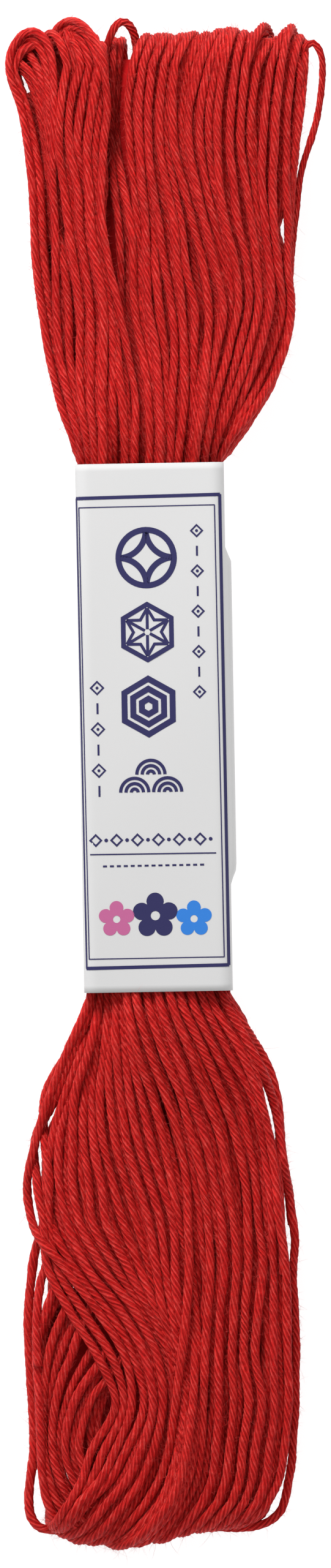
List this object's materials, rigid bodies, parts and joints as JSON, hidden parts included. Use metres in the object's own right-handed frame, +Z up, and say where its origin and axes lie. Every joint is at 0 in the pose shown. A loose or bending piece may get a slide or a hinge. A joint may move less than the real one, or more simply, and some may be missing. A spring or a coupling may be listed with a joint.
{
  "type": "skein of sashiko thread",
  "caption": "Flat skein of red cotton embroidery thread wound in loops, its two ends flared, pinched at the waist by a printed paper band",
  "frame": {"origin": "centre of the bounding box on the surface the skein lies on", "axes": "X across the skein, Y along it towards the end with the kinked loop, Z up through the printed face"},
  "size_m": [0.0274, 0.1304, 0.009],
  "materials": {
    "skein": "matte plied cotton",
    "band": "matte printed paper"
  },
  "bodies": {
    "root": {"skein": "skein", "band": "band"}
  },
  "joints": []
}
